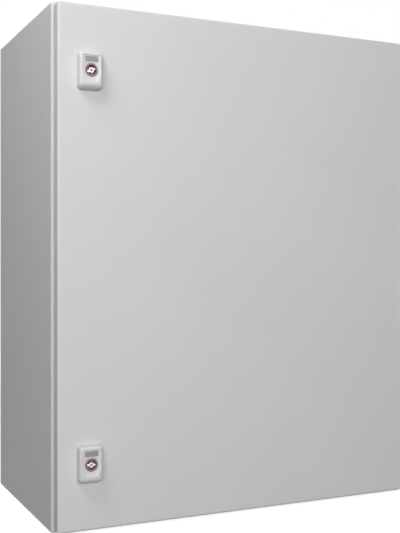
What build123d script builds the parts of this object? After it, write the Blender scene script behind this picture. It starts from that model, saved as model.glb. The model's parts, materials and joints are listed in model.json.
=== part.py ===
"""A wall-mounted sheet-steel enclosure with one door, two key-operated cam locks and concealed hinges.

The origin is the middle of the four wall-fixing holes, on the wall plane. X points to the right of
someone facing the door, Y points into the wall and Z points up. All sizes are in millimetres.
"""

import os

from build123d import *

os.makedirs("parts", exist_ok=True)

# Cabinet
width = 600
height = 760
depth = 350  # wall to the face of the door
body_sheet = 1.5
body_bend = 4  # outside radius of the fold between sides and rim
body_corner = 2.5  # outside radius of the folds between top, sides and base
rim = 28  # side of the body to the edge of the door opening
opening_corner = 10
lip_bend = 2.5  # outside radius of the fold between rim and lip
weld_gap = 0.1
overrun = 5  # how far a cutting tool runs past what it cuts

# Wall fixing
wall_hole_radius = 4.25
wall_hole_edge = 18  # hole centre to the outside of the body

# Door
door_sheet = 2
door_bend = 3.5
door_inset = 3.5  # edge of the body to edge of the door
door_depth = 17.5  # face of the door to the rear edge of its turned sides
door_gap = 3.5  # turned sides to the body's rim

# Door seal
seal_width = 13
seal_height = 8.5
seal_round = 3
seal_clearance = 0.3

# Perforated door rails
rail_width = 25
rail_height = 15
rail_sheet = 1.5
rail_foot = 8
rail_side = 81.5  # middle of a rail to the edge of the door
rail_end = 18  # end of a rail to the seal
slot_length = 12
slot_width = 6
slot_bridge = 13  # metal between two slots

# Mounting plate, its welded studs, washers and nuts
plate_sheet = 2.5
plate_clearance = 3  # plate to the door opening, all round
plate_standoff = 12
plate_turn = 8  # depth of the plate's turned sides
plate_bend = 3
plate_turn_end = 24  # end of a turned side to the corner of the plate
stud_edge = 14  # stud to the edges of the plate
stud_radius = 4
stud_collar_radius = 7
weld_collar_height = 1.5
stud_reach = 16  # stud past the face of the plate
stud_tip = 0.8
stud_play = 0.8  # hole round a stud
washer_radius = 9
washer_sheet = 1.6
nut_across = 13
nut_height = 6.5
nut_chamfer = 0.6
thread_clearance = 0.05  # between a thread's two plain cylinders

# Gland plate in the base
gland_cut_width = 400
gland_cut_depth = 220
gland_cut_corner = 8
gland_margin = 22  # edge of the cut-out to the edge of the plate
gland_sheet = 2
gland_seal_height = 3
gland_seal_inset = 2
gland_seal_width = 9
gland_stud_edge = 6
gland_stud_radius = 3
gland_stud_height = 14
gland_collar_radius = 3.4
gland_nut_across = 10
gland_nut_height = 5

# Earthing studs
earth_front = 62  # stud to the body's rim
earth_height = 20
door_earth_rise = 60  # stud above the lower edge of the door
door_earth_side = 50  # stud to the edge of the door
door_earth_height = 17

# Hinges
hinge_side = 7  # hinge axis to the edge of the door
hinge_front = 9  # hinge axis to the face of the door
hinge_end = 100  # middle of a hinge to the end of the body
knuckle_radius = 4
pin_radius = 2.5
pin_clearance = 0.05
pin_head_radius = 3.6
pin_head_height = 1.2
bracket_height = 30
bracket_foot_near = 4.5  # hinge axis to the near side of the foot
bracket_foot_width = 10
bracket_neck_drop = 4.5
bracket_elbow_drop = 7
bracket_screw_gap = 16  # between the axes of a bracket's two screws
bracket_screw_radius = 2.5
bracket_screw_play = 0.25
bracket_screw_depth = 6.5
bracket_head_radius = 4.6
bracket_head_height = 3
head_round = 0.8
ear_height = 10
ear_gap = 0.3
leaf_sheet = 2
leaf_tab = 17
leaf_fold_clearance = 0.1  # leaf to the inside of the door's fold
leaf_far = 9.4  # hinge axis to the leaf's inner edge
leaf_stud_radius = 2
leaf_nut_across = 7
leaf_nut_height = 3.2
leaf_stud_tip = 1.2  # stud past its nut
notch_play = 2.5  # bracket to the notch in the door's turned side
notch_lip = 5  # face of the door to the notch

# Cam locks
lock_side = 45.7  # lock axis to the edge of the door
lock_end = 100  # lock axis to the end of the body
housing_width = 35.5
housing_height = 54
housing_proud = 14
housing_corner = 6
housing_draft = 3  # degrees
housing_round = 4.5
housing_skirt = 1.8
shield_width = 25  # sunk panel, at its floor
shield_top = 20.6  # lock axis to the top of the sunk panel
shield_bend = 4.2  # lock axis to where the sunk panel starts to taper
shield_bottom = 15
shield_foot_width = 14
shield_sink = 1.2
shield_corner = 2
shield_flare = 45  # degrees that the walls of the sunk panel lean out
gasket_sheet = 1
gasket_play = 0.2
ring_radius = 9.6
ring_bore = 7.2
ring_height = 3.2
ring_play = 0.1
label_width = 19.3
label_height = 7.4
label_sheet = 0.6
label_rise = 15.7  # lock axis to the middle of the label
label_corner = 1
barrel_radius = 9.8
barrel_collar_radius = 10.6
barrel_bore = 8
barrel_play = 0.2
lock_nut_across = 26
lock_nut_height = 6
key_floor_depth = 10.5  # face of the housing to the floor of the key socket
insert_clearance = 0.05
post_radius = 3.8
post_sink = 1.7  # face of the housing to the end of the key post
bit_span = 12.6
bit_width = 3
upper_bit_turn = 25  # degrees that the key bits are turned from level
lower_bit_turn = 0
square_side = 9
square_play = 0.1
cam_clearance = 0.8
cam_sheet = 3
cam_reach = 42
cam_width = 16
cam_boss_radius = 11
cam_ramp = 1.2
cam_screw_radius = 3
cam_screw_length = 12
cam_screw_across = 10
cam_screw_head = 4
cam_washer_radius = 8
cam_washer_sheet = 1.5

# Places that follow from those sizes
door_face = -depth
door_back = door_face + door_sheet
door_rear = door_face + door_depth
body_face = door_rear + door_gap
rim_back = body_face + body_sheet
seal_back = door_back + seal_height
lip_face = seal_back + seal_clearance
panel_face = -body_sheet
plate_back = panel_face - plate_standoff
plate_face = plate_back - plate_sheet
floor = -height / 2 + body_sheet

opening_width = width - 2 * rim
opening_height = height - 2 * rim
lip_width = opening_width + 2 * body_sheet
lip_height = opening_height + 2 * body_sheet
door_width = width - 2 * door_inset
door_height = height - 2 * door_inset
wall_span_x = width - 2 * wall_hole_edge
wall_span_z = height - 2 * wall_hole_edge
plate_width = opening_width - 2 * plate_clearance
plate_height = opening_height - 2 * plate_clearance
stud_span_x = plate_width - 2 * stud_edge
stud_span_z = plate_height - 2 * stud_edge
seal_line_width = opening_width + body_sheet
seal_line_height = opening_height + body_sheet
seal_line_corner = opening_corner + body_sheet / 2

rail_x = door_width / 2 - rail_side
earth_x = (gland_cut_width / 2 + gland_margin + width / 2) / 2  # between the gland plate and the side

hinge_x = width / 2 - door_inset - hinge_side
hinge_y = door_face + hinge_front
hinge_spread = height - 2 * hinge_end
foot_near_x = hinge_x - bracket_foot_near
foot_far_x = foot_near_x - bracket_foot_width
foot_x = (foot_near_x + foot_far_x) / 2
lock_x = -width / 2 + door_inset + lock_side
lock_spread = height - 2 * lock_end
housing_face = door_face - housing_proud
shield_floor = housing_face + shield_sink
key_floor = housing_face + key_floor_depth
cam_face = rim_back + cam_clearance
cam_back = cam_face + cam_sheet
barrel_rear = cam_face - cam_clearance


def level(y):
    """A sketch plane parallel to the door at y, whose own x is X and own y is Z; it faces forwards."""
    return Plane.XZ.offset(-y)


def save(piece, name):
    piece.part.label = name
    export_step(piece.part, f"parts/{name}.step")


def front_edges(piece):
    """The edges round the foremost face of a piece."""
    return piece.faces().sort_by(Axis.Y)[0].edges()


def rear_edges(piece):
    """The edges round the rearmost face of a piece."""
    return piece.faces().sort_by(Axis.Y)[-1].edges()


# Body: one folded sheet, with a rim turned inwards and a lip turned forwards round the door opening
with BuildPart() as cavity:
    with BuildSketch(level(0)):
        RectangleRounded(width - 2 * body_sheet, height - 2 * body_sheet, body_corner - body_sheet)
    extrude(amount=-rim_back)
    fillet(front_edges(cavity), body_bend - body_sheet)

with BuildPart() as body_wrap:
    with BuildSketch(level(0)):
        RectangleRounded(width, height, body_corner)
    extrude(amount=-body_face)
    fillet(front_edges(body_wrap), body_bend)
    with BuildSketch(level(rim_back)):
        RectangleRounded(lip_width, lip_height, opening_corner + body_sheet)
    extrude(amount=rim_back - lip_face)
    add(cavity.part, mode=Mode.SUBTRACT)
    with BuildSketch(level(rim_back + overrun)):
        RectangleRounded(opening_width, opening_height, opening_corner)
    extrude(amount=rim_back - lip_face + 2 * overrun, mode=Mode.SUBTRACT)
    rim_faces = body_wrap.faces().filter_by(Axis.Y)
    inner_loop = rim_faces.filter_by(lambda f: abs(f.center().Y - rim_back) < weld_gap)[0].inner_wires()[0]
    fillet(inner_loop.edges(), lip_bend)
    outer_loop = rim_faces.filter_by(lambda f: abs(f.center().Y - body_face) < weld_gap)[0].inner_wires()[0]
    fillet(outer_loop.edges(), lip_bend - body_sheet)
    with BuildSketch(Plane.XY.offset(floor)):
        with Locations((0, body_face / 2)):
            RectangleRounded(gland_cut_width, gland_cut_depth, gland_cut_corner)
    extrude(amount=-body_sheet - overrun, mode=Mode.SUBTRACT)
    with BuildSketch(level(rim_back)):
        with Locations((foot_x, 0)):
            with GridLocations(bracket_screw_gap, hinge_spread, 1, 2):
                with GridLocations(0, bracket_screw_gap, 1, 2):
                    Circle(bracket_screw_radius + bracket_screw_play)
    extrude(amount=body_sheet, both=True, mode=Mode.SUBTRACT)
save(body_wrap, "body_wrap")

with BuildPart() as rear_panel:
    with BuildSketch(level(0)):
        RectangleRounded(
            width - 2 * (body_sheet + weld_gap),
            height - 2 * (body_sheet + weld_gap),
            body_corner - body_sheet - weld_gap,
        )
        with GridLocations(wall_span_x, wall_span_z, 2, 2):
            Circle(wall_hole_radius, mode=Mode.SUBTRACT)
    extrude(amount=body_sheet)
save(rear_panel, "rear_panel")


# Threaded hardware that several places share
def studs(base, places, collar_radius, collar_height, radius, length):
    """Welded studs that stand on a plane, each with a collar at its foot."""
    with BuildPart() as group:
        with BuildSketch(base):
            with Locations(*places):
                Circle(collar_radius)
        extrude(amount=collar_height)
        with BuildSketch(base):
            with Locations(*places):
                Circle(radius)
        extrude(amount=length)
        along = Axis((0, 0, 0), base.z_dir)
        tips = group.faces().filter_by(along).group_by(along)[-1]
        chamfer(tips.edges(), stud_tip)
    return group


def hex_nuts(base, places, across, thickness, bore):
    """Hexagon nuts that lie on a plane, chamfered on their free side."""
    with BuildPart() as group:
        with BuildSketch(base):
            with Locations(*places):
                RegularPolygon(across / 2, side_count=6, major_radius=False)
                Circle(bore, mode=Mode.SUBTRACT)
        extrude(amount=thickness)
        along = Axis((0, 0, 0), base.z_dir)
        free = group.faces().filter_by(along).group_by(along)[-1]
        chamfer([edge for face in free for edge in face.outer_wire().edges()], nut_chamfer)
    return group


def washers(base, places, radius, thickness, bore):
    """Flat washers that lie on a plane."""
    with BuildPart() as group:
        with BuildSketch(base):
            with Locations(*places):
                Circle(radius)
                Circle(bore, mode=Mode.SUBTRACT)
        extrude(amount=thickness)
    return group


# Mounting plate: flat, with its two long sides turned back, held by four welded studs
plate_places = [
    (side * stud_span_x / 2, end * stud_span_z / 2) for side in (-1, 1) for end in (-1, 1)
]
mounting_studs = studs(
    level(panel_face),
    plate_places,
    stud_collar_radius,
    plate_standoff,
    stud_radius,
    plate_standoff + plate_sheet + stud_reach,
)
save(mounting_studs, "mounting_studs")

with BuildPart() as mounting_plate:
    with BuildSketch(level(plate_back)):
        Rectangle(plate_width, plate_height)
    extrude(amount=plate_sheet)
    with BuildSketch(level(plate_back)):
        with GridLocations(plate_width - plate_sheet, 0, 2, 1):
            Rectangle(plate_sheet, plate_height - 2 * plate_turn_end)
    extrude(amount=-plate_turn)
    long_edges = front_edges(mounting_plate).filter_by(Axis.Z)
    fillet(long_edges, plate_bend)
    with BuildSketch(level(plate_back)):
        with Locations(*plate_places):
            Circle(stud_radius + stud_play)
    extrude(amount=plate_sheet, mode=Mode.SUBTRACT)
save(mounting_plate, "mounting_plate")

plate_washers = washers(
    level(plate_face), plate_places, washer_radius, washer_sheet, stud_radius + stud_play
)
save(plate_washers, "plate_washers")

plate_nuts = hex_nuts(
    level(plate_face - washer_sheet), plate_places, nut_across, nut_height, stud_radius + thread_clearance
)
save(plate_nuts, "plate_nuts")

# Gland plate: closes the cut-out in the base from inside, on a flat seal
gland_y = body_face / 2
gland_places = [
    (
        column * (gland_cut_width / 2 + gland_margin - gland_stud_edge),
        gland_y + row * (gland_cut_depth / 2 + gland_margin - gland_stud_edge),
    )
    for column in (-1, 0, 1)
    for row in (-1, 1)
]
with BuildPart() as gland_seal:
    with BuildSketch(Plane.XY.offset(floor)):
        with Locations((0, gland_y)):
            outer = 2 * (gland_seal_inset + gland_seal_width)
            RectangleRounded(gland_cut_width + outer, gland_cut_depth + outer, gland_cut_corner)
            inner = 2 * gland_seal_inset
            RectangleRounded(
                gland_cut_width + inner, gland_cut_depth + inner, gland_cut_corner, mode=Mode.SUBTRACT
            )
    extrude(amount=gland_seal_height)
save(gland_seal, "gland_seal")

gland_back = floor + gland_seal_height
with BuildPart() as gland_plate:
    with BuildSketch(Plane.XY.offset(gland_back)):
        with Locations((0, gland_y)):
            RectangleRounded(
                gland_cut_width + 2 * gland_margin, gland_cut_depth + 2 * gland_margin, gland_cut_corner
            )
        with Locations(*gland_places):
            Circle(gland_stud_radius + stud_play, mode=Mode.SUBTRACT)
    extrude(amount=gland_sheet)
save(gland_plate, "gland_plate")

gland_studs = studs(
    Plane.XY.offset(floor),
    gland_places,
    gland_collar_radius,
    weld_collar_height,
    gland_stud_radius,
    gland_stud_height,
)
save(gland_studs, "gland_studs")

gland_nuts = hex_nuts(
    Plane.XY.offset(gland_back + gland_sheet),
    gland_places,
    gland_nut_across,
    gland_nut_height,
    gland_stud_radius + thread_clearance,
)
save(gland_nuts, "gland_nuts")

# Earthing studs, one on the base and one on the door
base_earth = [(earth_x, body_face + earth_front)]
body_earth_stud = studs(
    Plane.XY.offset(floor), base_earth, stud_collar_radius, weld_collar_height, stud_radius, earth_height
)
save(body_earth_stud, "body_earth_stud")
body_earth_washer = washers(
    Plane.XY.offset(floor + weld_collar_height),
    base_earth,
    washer_radius,
    washer_sheet,
    stud_radius + stud_play,
)
save(body_earth_washer, "body_earth_washer")
body_earth_nut = hex_nuts(
    Plane.XY.offset(floor + weld_collar_height + washer_sheet),
    base_earth,
    nut_across,
    nut_height,
    stud_radius + thread_clearance,
)
save(body_earth_nut, "body_earth_nut")

door_inward = Plane(origin=(0, door_back, 0), x_dir=(1, 0, 0), z_dir=(0, 1, 0))
door_earth = [(width / 2 - door_inset - door_earth_side, height / 2 - door_inset - door_earth_rise)]
door_earth_stud = studs(
    door_inward, door_earth, stud_collar_radius, weld_collar_height, stud_radius, door_earth_height
)
save(door_earth_stud, "door_earth_stud")
door_earth_washer = washers(
    door_inward.offset(weld_collar_height), door_earth, washer_radius, washer_sheet, stud_radius + stud_play
)
save(door_earth_washer, "door_earth_washer")
door_earth_nut = hex_nuts(
    door_inward.offset(weld_collar_height + washer_sheet),
    door_earth,
    nut_across,
    nut_height,
    stud_radius + thread_clearance,
)
save(door_earth_nut, "door_earth_nut")

# Door: a shallow tray of one folded sheet, notched at the hinges and pierced for the locks
with BuildPart() as door_hollow:
    with BuildSketch(level(door_rear)):
        RectangleRounded(
            door_width - 2 * door_sheet, door_height - 2 * door_sheet, door_bend - door_sheet
        )
    extrude(amount=door_rear - door_back)
    fillet(front_edges(door_hollow), door_bend - door_sheet)

with BuildPart() as door_panel:
    with BuildSketch(level(door_rear)):
        RectangleRounded(door_width, door_height, door_bend)
    extrude(amount=door_rear - door_face)
    fillet(front_edges(door_panel), door_bend)
    add(door_hollow.part, mode=Mode.SUBTRACT)
    with BuildSketch(level(door_rear)):
        with Locations((lock_x, 0)):
            with GridLocations(0, lock_spread, 1, 2):
                Circle(barrel_radius + barrel_play)
    extrude(amount=door_rear - door_face, mode=Mode.SUBTRACT)
    with BuildSketch(level(door_rear)):
        with Locations((door_width / 2, 0)):
            with GridLocations(0, hinge_spread, 1, 2):
                Rectangle(2 * door_bend, bracket_height + 2 * notch_play)
    extrude(amount=door_depth - notch_lip, mode=Mode.SUBTRACT)
save(door_panel, "door_panel")

with BuildPart() as door_seal:
    with BuildSketch(level(door_back)):
        RectangleRounded(
            seal_line_width + seal_width, seal_line_height + seal_width, seal_line_corner + seal_width / 2
        )
        RectangleRounded(
            seal_line_width - seal_width,
            seal_line_height - seal_width,
            seal_line_corner - seal_width / 2,
            mode=Mode.SUBTRACT,
        )
    extrude(amount=-seal_height)
    fillet(rear_edges(door_seal), seal_round)
save(door_seal, "door_seal")

rail_length = seal_line_height - seal_width - 2 * rail_end
slot_step = slot_length + slot_bridge
slot_count = int((rail_length - slot_length) / slot_step)


def door_rail(x):
    """A hat-section rail welded to the inside of the door, with a row of slots."""
    with BuildPart() as rail:
        with BuildSketch(level(door_back)):
            with Locations((x, 0)):
                Rectangle(rail_width + 2 * rail_foot, rail_length)
        extrude(amount=-rail_sheet)
        with BuildSketch(level(door_back)):
            with Locations((x, 0)):
                Rectangle(rail_width, rail_length)
        extrude(amount=-rail_height)
        with BuildSketch(level(door_back)):
            with Locations((x, 0)):
                Rectangle(rail_width - 2 * rail_sheet, rail_length)
        extrude(amount=rail_sheet - rail_height, mode=Mode.SUBTRACT)
        fillet(rear_edges(rail).filter_by(Axis.Z), rail_sheet)
        with BuildSketch(level(door_back + rail_height - rail_sheet)):
            with Locations((x, 0)):
                with GridLocations(0, slot_step, 1, slot_count):
                    SlotOverall(slot_length, slot_width, rotation=90)
        extrude(amount=-rail_sheet, mode=Mode.SUBTRACT)
    return rail


save(door_rail(-rail_x), "door_rail_left")
save(door_rail(rail_x), "door_rail_right")

# Hinges: a cast bracket on the rim reaches through a notch in the door's turned side to the pin
tangent_shares = (0.8, 0.6)  # a point of the knuckle's circle, as shares of its radius
crown_shares = (0.28, 0.96)  # another such point


def hinge_bracket(z):
    """The body's half of a hinge: knuckle, neck and foot in one casting."""
    outline = [
        (hinge_x - tangent_shares[0] * knuckle_radius, hinge_y - tangent_shares[1] * knuckle_radius),
        (foot_far_x, hinge_y + bracket_neck_drop),
        (foot_far_x, body_face),
        (foot_near_x, body_face),
        (foot_near_x, hinge_y + bracket_elbow_drop),
        (hinge_x + crown_shares[0] * knuckle_radius, hinge_y + crown_shares[1] * knuckle_radius),
    ]
    with BuildPart() as bracket:
        with BuildSketch(Plane.XY.offset(z - bracket_height / 2)):
            with BuildLine():
                Polyline(*outline, close=True)
            make_face()
            with Locations((hinge_x, hinge_y)):
                Circle(knuckle_radius)
                Circle(pin_radius + pin_clearance, mode=Mode.SUBTRACT)
        extrude(amount=bracket_height)
        with BuildSketch(level(body_face)):
            with Locations((foot_x, z)):
                with GridLocations(0, bracket_screw_gap, 1, 2):
                    Circle(bracket_screw_radius + thread_clearance)
        extrude(amount=bracket_screw_depth, mode=Mode.SUBTRACT)
    return bracket


def bracket_screws():
    """The four screws that hold both brackets, with their heads inside the enclosure."""
    places = [
        (foot_x, hinge * hinge_spread / 2 + row * bracket_screw_gap / 2)
        for hinge in (-1, 1)
        for row in (-1, 1)
    ]
    with BuildPart() as screws:
        with BuildSketch(level(rim_back)):
            with Locations(*places):
                Circle(bracket_screw_radius)
        extrude(amount=body_sheet + bracket_screw_depth - head_round)
        with BuildSketch(level(rim_back)):
            with Locations(*places):
                Circle(bracket_head_radius)
        extrude(amount=-bracket_head_height)
        heads = screws.faces().filter_by(Axis.Y).group_by(Axis.Y)[-1]
        fillet(heads.edges(), head_round)
    return screws


leaf_near = hinge_side - door_bend - leaf_fold_clearance
leaf_half = bracket_height / 2 + ear_gap + ear_height
leaf_stud_x = hinge_x + (leaf_near - leaf_far) / 2
leaf_stud_rise = leaf_half + leaf_tab / 2


def hinge_leaf(z):
    """The door's half of a hinge: a flat leaf with two ears round the pin."""
    with BuildPart() as leaf:
        with BuildSketch(level(door_back)):
            with Locations((hinge_x + (leaf_near - leaf_far) / 2, z)):
                Rectangle(leaf_near + leaf_far, 2 * (leaf_half + leaf_tab))
                with GridLocations(0, 2 * leaf_stud_rise, 1, 2):
                    Circle(leaf_stud_radius + thread_clearance, mode=Mode.SUBTRACT)
        extrude(amount=-leaf_sheet)
        for foot in (z - leaf_half, z + leaf_half - ear_height):
            with BuildSketch(Plane.XY.offset(foot)):
                with Locations((hinge_x, hinge_y)):
                    Circle(knuckle_radius)
                with Locations((hinge_x, (hinge_y + door_back) / 2)):
                    Rectangle(2 * leaf_near, hinge_y - door_back)
                with Locations((hinge_x, hinge_y)):
                    Circle(pin_radius + pin_clearance, mode=Mode.SUBTRACT)
            extrude(amount=ear_height)
    return leaf


def hinge_pin(z):
    """A headed pin, dropped in from above."""
    with BuildPart() as pin:
        with BuildSketch(Plane.XY.offset(z - leaf_half)):
            with Locations((hinge_x, hinge_y)):
                Circle(pin_radius)
        extrude(amount=2 * leaf_half)
        with BuildSketch(Plane.XY.offset(z + leaf_half)):
            with Locations((hinge_x, hinge_y)):
                Circle(pin_head_radius)
        extrude(amount=pin_head_height)
    return pin


for word, z in (("upper", hinge_spread / 2), ("lower", -hinge_spread / 2)):
    save(hinge_bracket(z), f"{word}_hinge_bracket")
    save(hinge_leaf(z), f"{word}_hinge_leaf")
    save(hinge_pin(z), f"{word}_hinge_pin")
save(bracket_screws(), "hinge_bracket_screws")

leaf_places = [
    (leaf_stud_x, hinge * hinge_spread / 2 + end * leaf_stud_rise) for hinge in (-1, 1) for end in (-1, 1)
]
with BuildPart() as leaf_studs:
    with BuildSketch(level(door_back)):
        with Locations(*leaf_places):
            Circle(leaf_stud_radius)
    extrude(amount=-(leaf_sheet + leaf_nut_height + leaf_stud_tip))
save(leaf_studs, "hinge_leaf_studs")
leaf_nuts = hex_nuts(
    door_inward.offset(leaf_sheet),
    [(x, -z) for x, z in leaf_places],
    leaf_nut_across,
    leaf_nut_height,
    leaf_stud_radius + thread_clearance,
)
save(leaf_nuts, "hinge_leaf_nuts")

# Cam locks: a moulded housing on the door, a barrel through it, and a key-turned insert with its cam
shoulder = shield_floor + ring_height - label_sheet


def lock_housing(z):
    """The moulded cover: drafted sides and a sunk panel that holds the label and the key socket."""
    half_panel = [
        (shield_width / 2, shield_top),
        (shield_width / 2, -shield_bend),
        (shield_foot_width / 2, -shield_bottom),
    ]
    panel_outline = [(lock_x + across, z + rise) for across, rise in half_panel]
    panel_outline += [(lock_x - across, z + rise) for across, rise in reversed(half_panel)]
    with BuildPart() as housing:
        with BuildSketch(level(door_face)):
            with Locations((lock_x, z)):
                RectangleRounded(housing_width, housing_height, housing_corner)
        extrude(amount=housing_proud, taper=housing_draft)
        fillet(front_edges(housing), housing_round)
        with BuildSketch(level(shield_floor)) as panel:
            with BuildLine():
                Polyline(*panel_outline, close=True)
            make_face()
            fillet(panel.vertices(), shield_corner)
        extrude(amount=2 * shield_sink, taper=-shield_flare, mode=Mode.SUBTRACT)
        with BuildSketch(level(door_face)):
            with Locations((lock_x, z)):
                RectangleRounded(
                    housing_width - 2 * housing_skirt,
                    housing_height - 2 * housing_skirt,
                    housing_corner - housing_skirt,
                )
        extrude(amount=gasket_sheet, mode=Mode.SUBTRACT)
        with BuildSketch(level(door_face)):
            with Locations((lock_x, z)):
                Circle(barrel_collar_radius + barrel_play)
        extrude(amount=door_face - shoulder, mode=Mode.SUBTRACT)
        with BuildSketch(level(shoulder)):
            with Locations((lock_x, z)):
                Circle(ring_radius + ring_play)
        extrude(amount=housing_proud, mode=Mode.SUBTRACT)
    return housing


def lock_gasket(z):
    with BuildPart() as gasket:
        inset = 2 * (housing_skirt + gasket_play)
        with BuildSketch(level(door_face)):
            with Locations((lock_x, z)):
                RectangleRounded(
                    housing_width - inset, housing_height - inset, housing_corner - inset / 2
                )
                Circle(barrel_collar_radius + gasket_play, mode=Mode.SUBTRACT)
        extrude(amount=gasket_sheet)
    return gasket


def lock_ring(z):
    """The coloured bezel round the key socket."""
    with BuildPart() as ring:
        with BuildSketch(level(shoulder)):
            with Locations((lock_x, z)):
                Circle(ring_radius)
                Circle(ring_bore, mode=Mode.SUBTRACT)
        extrude(amount=ring_height)
    return ring


def lock_label(z):
    """A blank plate above the key socket."""
    with BuildPart() as label:
        with BuildSketch(level(shield_floor)):
            with Locations((lock_x, z + label_rise)):
                RectangleRounded(label_width, label_height, label_corner)
        extrude(amount=label_sheet)
    return label


def lock_barrel(z):
    """The fixed sleeve: a collar outside the door, and a threaded body through it."""
    with BuildPart() as barrel:
        with BuildSketch(level(door_face)):
            with Locations((lock_x, z)):
                Circle(barrel_collar_radius)
        extrude(amount=door_face - shoulder)
        with BuildSketch(level(door_face)):
            with Locations((lock_x, z)):
                Circle(barrel_radius)
        extrude(amount=door_face - barrel_rear)
        with BuildSketch(level(barrel_rear)):
            with Locations((lock_x, z)):
                Circle(barrel_bore)
        extrude(amount=barrel_rear - shoulder, mode=Mode.SUBTRACT)
    return barrel


def lock_insert(z, bit_turn):
    """The part that the key turns: a post with two bits, a plug in the barrel and a square end."""
    with BuildPart() as insert:
        with BuildSketch(level(cam_face)):
            with Locations((lock_x, z)):
                Circle(barrel_bore - insert_clearance)
        extrude(amount=cam_face - key_floor)
        with BuildSketch(level(key_floor)):
            with Locations((lock_x, z)):
                Circle(post_radius)
                Rectangle(bit_span, bit_width, rotation=bit_turn)
        extrude(amount=key_floor - housing_face - post_sink)
        with BuildSketch(level(cam_face)):
            with Locations((lock_x, z)):
                Rectangle(square_side, square_side)
        extrude(amount=square_play - cam_sheet)
        with BuildSketch(level(cam_back)):
            with Locations((lock_x, z)):
                Circle(cam_screw_radius + thread_clearance)
        extrude(amount=cam_screw_length, mode=Mode.SUBTRACT)
    return insert


def lock_cam(z):
    """The tongue that swings behind the rim; it hangs down while unlocked."""
    with BuildPart() as cam:
        with BuildSketch(level(cam_back)):
            with Locations((lock_x, z)):
                Circle(cam_boss_radius)
            with Locations((lock_x, z - (cam_reach - cam_width / 2) / 2)):
                Rectangle(cam_width, cam_reach - cam_width / 2)
            with Locations((lock_x, z - cam_reach + cam_width / 2)):
                Circle(cam_width / 2)
            with Locations((lock_x, z)):
                hole = square_side + 2 * square_play
                Rectangle(hole, hole, mode=Mode.SUBTRACT)
        extrude(amount=cam_sheet)
        outline = cam.faces().sort_by(Axis.Y)[0].outer_wire().edges()
        chamfer(outline.sort_by(Axis.Z)[0], cam_ramp)
    return cam


def lock_cam_washer(z):
    return washers(
        Plane(origin=(0, cam_back, 0), x_dir=(1, 0, 0), z_dir=(0, 1, 0)),
        [(lock_x, -z)],
        cam_washer_radius,
        cam_washer_sheet,
        cam_screw_radius + stud_play,
    )


def lock_cam_screw(z):
    with BuildPart() as screw:
        with BuildSketch(level(cam_back + cam_washer_sheet)):
            with Locations((lock_x, z)):
                Circle(cam_screw_radius)
        extrude(amount=cam_washer_sheet + cam_screw_length - head_round)
        with BuildSketch(level(cam_back + cam_washer_sheet)):
            with Locations((lock_x, z)):
                RegularPolygon(cam_screw_across / 2, side_count=6, major_radius=False)
        extrude(amount=-cam_screw_head)
        chamfer(rear_edges(screw), nut_chamfer)
    return screw


def lock_nut(z):
    """The large nut that clamps the barrel to the door."""
    with BuildPart() as nut:
        with BuildSketch(level(door_back)):
            with Locations((lock_x, z)):
                RegularPolygon(lock_nut_across / 2, side_count=6, major_radius=False, rotation=30)
                Circle(barrel_radius + thread_clearance, mode=Mode.SUBTRACT)
        extrude(amount=-lock_nut_height)
        chamfer(nut.faces().sort_by(Axis.Y)[-1].outer_wire().edges(), nut_chamfer)
    return nut


for word, z, bit_turn in (
    ("upper", lock_spread / 2, upper_bit_turn),
    ("lower", -lock_spread / 2, lower_bit_turn),
):
    save(lock_housing(z), f"{word}_lock_housing")
    save(lock_gasket(z), f"{word}_lock_gasket")
    save(lock_ring(z), f"{word}_lock_ring")
    save(lock_label(z), f"{word}_lock_label")
    save(lock_barrel(z), f"{word}_lock_barrel")
    save(lock_nut(z), f"{word}_lock_nut")
    save(lock_insert(z, bit_turn), f"{word}_lock_insert")
    save(lock_cam(z), f"{word}_lock_cam")
    save(lock_cam_washer(z), f"{word}_cam_washer")
    save(lock_cam_screw(z), f"{word}_cam_screw")
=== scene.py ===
# %% [markdown]
# # A steel wall enclosure
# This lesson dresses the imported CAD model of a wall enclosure: a folded steel body, one door on two
# concealed hinges and two cam locks. The CAD solids give every place and size. Blender adds the
# finishes, the light, and the pieces whose fine shapes matter: lock covers, rings, key plugs, blank
# labels, the foamed seal, and the threaded studs with their nuts.

# %% Load the frame
import json
import math

import bmesh
import bpy
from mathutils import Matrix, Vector


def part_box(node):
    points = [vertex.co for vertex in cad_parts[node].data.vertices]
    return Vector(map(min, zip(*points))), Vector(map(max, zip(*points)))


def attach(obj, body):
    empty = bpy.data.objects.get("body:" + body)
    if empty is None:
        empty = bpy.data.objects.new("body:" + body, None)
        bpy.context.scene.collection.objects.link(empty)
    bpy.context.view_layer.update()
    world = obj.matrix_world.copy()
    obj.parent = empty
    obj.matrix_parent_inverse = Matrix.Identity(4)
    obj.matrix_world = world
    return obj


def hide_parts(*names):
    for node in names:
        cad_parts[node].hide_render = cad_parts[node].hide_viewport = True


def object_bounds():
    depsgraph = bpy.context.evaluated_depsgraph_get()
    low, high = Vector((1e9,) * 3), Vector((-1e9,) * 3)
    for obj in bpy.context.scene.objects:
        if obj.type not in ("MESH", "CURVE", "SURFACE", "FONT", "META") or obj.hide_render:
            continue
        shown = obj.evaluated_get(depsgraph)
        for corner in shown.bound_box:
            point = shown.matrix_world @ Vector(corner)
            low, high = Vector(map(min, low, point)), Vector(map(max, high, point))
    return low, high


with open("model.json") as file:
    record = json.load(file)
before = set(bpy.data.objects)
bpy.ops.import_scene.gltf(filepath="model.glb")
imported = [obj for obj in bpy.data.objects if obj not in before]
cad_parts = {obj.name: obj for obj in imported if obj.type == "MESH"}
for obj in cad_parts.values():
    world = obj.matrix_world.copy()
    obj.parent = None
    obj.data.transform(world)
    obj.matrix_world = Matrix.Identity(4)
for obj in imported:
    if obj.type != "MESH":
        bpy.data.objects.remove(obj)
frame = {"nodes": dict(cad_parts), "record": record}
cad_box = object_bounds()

nodes = frame["nodes"]

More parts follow.
